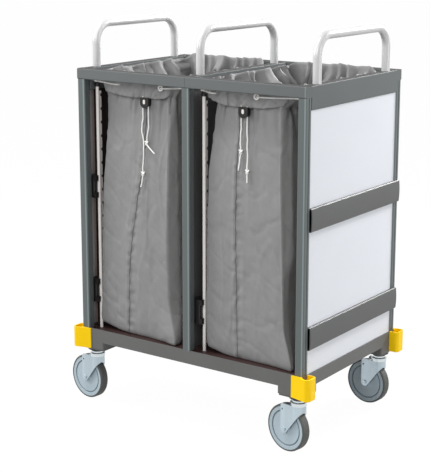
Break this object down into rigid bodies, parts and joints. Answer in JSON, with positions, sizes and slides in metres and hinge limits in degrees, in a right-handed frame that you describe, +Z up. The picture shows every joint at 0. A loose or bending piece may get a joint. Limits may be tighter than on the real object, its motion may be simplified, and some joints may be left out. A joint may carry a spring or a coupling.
{
  "type": "linen trolley",
  "caption": "Grey linen trolley on swivel castors with tall hanging cloth bags, side panels with bumper bands, yellow corner bumpers and tube handles.",
  "frame": {"origin": "on the floor under the middle of the frame", "axes": "+X to the right seen from the open front, +Y to the rear, +Z up; the open front with the drawcords faces -Y"},
  "size_m": [0.8198, 0.513, 1.072],
  "materials": {
    "frame": "satin grey moulding with a fine grain",
    "post": "satin grey-lacquered extrusion",
    "panel": "smooth white sheet",
    "bumper": "soft yellow plastic",
    "handle": "satin bright tube",
    "castor_metal": "zinc plated",
    "hub": "pale blue-grey plastic",
    "tyre": "dark warm grey rubber",
    "white_moulding": "smooth off-white plastic",
    "black_moulding": "black plastic",
    "cloth": "plain grey woven polyester",
    "cord": "white braided cord"
  },
  "bodies": {
    "frame": {"base_tray": "frame", "bumper_front_left": "bumper", "bumper_front_right": "bumper", "bumper_rear_left": "bumper", "bumper_rear_right": "bumper", "post_front_left": "post", "post_front_middle": "post", "post_front_right": "post", "post_rear_left": "post", "post_rear_middle": "post", "post_rear_right": "post", "top_rail_front_left": "frame", "top_rail_front_right": "frame", "top_rail_rear_left": "frame", "top_rail_rear_right": "frame", "top_rail_side_left": "frame", "top_rail_side_right": "frame", "top_rail_middle": "frame", "handle_left": "handle", "handle_middle": "handle", "handle_right": "handle", "side_panel_left": "panel", "side_panel_right": "panel", "partition_panel": "frame", "side_bands_left": "frame", "side_bands_right": "frame", "bag_uprights": "white_moulding", "upright_brackets": "black_moulding", "cord_hooks": "black_moulding", "castor_heads": "castor_metal"},
    "swivel_front_left": {"castor_fork_front_left": "castor_metal", "castor_axle_front_left": "castor_metal"},
    "wheel_front_left": {"wheel_hub_front_left": "hub", "wheel_tyre_front_left": "tyre"},
    "swivel_front_right": {"castor_fork_front_right": "castor_metal", "castor_axle_front_right": "castor_metal"},
    "wheel_front_right": {"wheel_hub_front_right": "hub", "wheel_tyre_front_right": "tyre"},
    "swivel_rear_left": {"castor_fork_rear_left": "castor_metal", "castor_axle_rear_left": "castor_metal"},
    "wheel_rear_left": {"wheel_hub_rear_left": "hub", "wheel_tyre_rear_left": "tyre"},
    "swivel_rear_right": {"castor_fork_rear_right": "castor_metal", "castor_axle_rear_right": "castor_metal"},
    "wheel_rear_right": {"wheel_hub_rear_right": "hub", "wheel_tyre_rear_right": "tyre"},
    "bag_left": {"bag_left": "cloth", "bag_eyelets_left": "white_moulding", "hanging_cords_left": "cord", "drawcord_long_left": "cord", "drawcord_short_left": "cord"},
    "lock_left": {"cord_lock_left": "black_moulding"},
    "button_left": {"cord_lock_button_left": "white_moulding"},
    "bag_right": {"bag_right": "cloth", "bag_eyelets_right": "white_moulding", "hanging_cords_right": "cord", "drawcord_long_right": "cord", "drawcord_short_right": "cord"},
    "lock_right": {"cord_lock_right": "black_moulding"},
    "button_right": {"cord_lock_button_right": "white_moulding"}
  },
  "joints": [
    {"name": "swivel_front_left", "type": "hinge", "parent": "frame", "child": "swivel_front_left", "pos_m": [-0.3345, -0.2125, 0.145], "axis": [0, 0, 1], "continuous": true},
    {"name": "spin_front_left", "type": "hinge", "parent": "swivel_front_left", "child": "wheel_front_left", "pos_m": [-0.36825, -0.20836, 0.0625], "axis": [0.1219, 0.9925, 0], "continuous": true},
    {"name": "swivel_front_right", "type": "hinge", "parent": "frame", "child": "swivel_front_right", "pos_m": [0.3345, -0.2125, 0.145], "axis": [0, 0, 1], "continuous": true},
    {"name": "spin_front_right", "type": "hinge", "parent": "swivel_front_right", "child": "wheel_front_right", "pos_m": [0.30102, -0.2066, 0.0625], "axis": [0.1736, 0.9848, 0], "continuous": true},
    {"name": "swivel_rear_left", "type": "hinge", "parent": "frame", "child": "swivel_rear_left", "pos_m": [-0.3345, 0.2125, 0.145], "axis": [0, 0, 1], "continuous": true},
    {"name": "spin_rear_left", "type": "hinge", "parent": "swivel_rear_left", "child": "wheel_rear_left", "pos_m": [-0.36831, 0.21605, 0.0625], "axis": [0.1045, 0.9945, 0], "continuous": true},
    {"name": "swivel_rear_right", "type": "hinge", "parent": "frame", "child": "swivel_rear_right", "pos_m": [0.3345, 0.2125, 0.145], "axis": [0, 0, 1], "continuous": true},
    {"name": "spin_rear_right", "type": "hinge", "parent": "swivel_rear_right", "child": "wheel_rear_right", "pos_m": [0.30063, 0.21546, 0.0625], "axis": [0.0872, 0.9962, 0], "continuous": true},
    {"name": "bag_lift_left", "type": "slide", "parent": "frame", "child": "bag_left", "axis": [0, 0, 1], "range_m": [0, 0.74]},
    {"name": "lock_slide_left", "type": "slide", "parent": "bag_left", "child": "lock_left", "axis": [0, 0, -1], "range_m": [0, 0.02]},
    {"name": "button_press_left", "type": "slide", "parent": "lock_left", "child": "button_left", "axis": [0, 1, 0], "range_m": [0, 0.004], "stiffness_N_per_m": 200},
    {"name": "bag_lift_right", "type": "slide", "parent": "frame", "child": "bag_right", "axis": [0, 0, 1], "range_m": [0, 0.74]},
    {"name": "lock_slide_right", "type": "slide", "parent": "bag_right", "child": "lock_right", "axis": [0, 0, -1], "range_m": [0, 0.02]},
    {"name": "button_press_right", "type": "slide", "parent": "lock_right", "child": "button_right", "axis": [0, 1, 0], "range_m": [0, 0.004], "stiffness_N_per_m": 200}
  ]
}
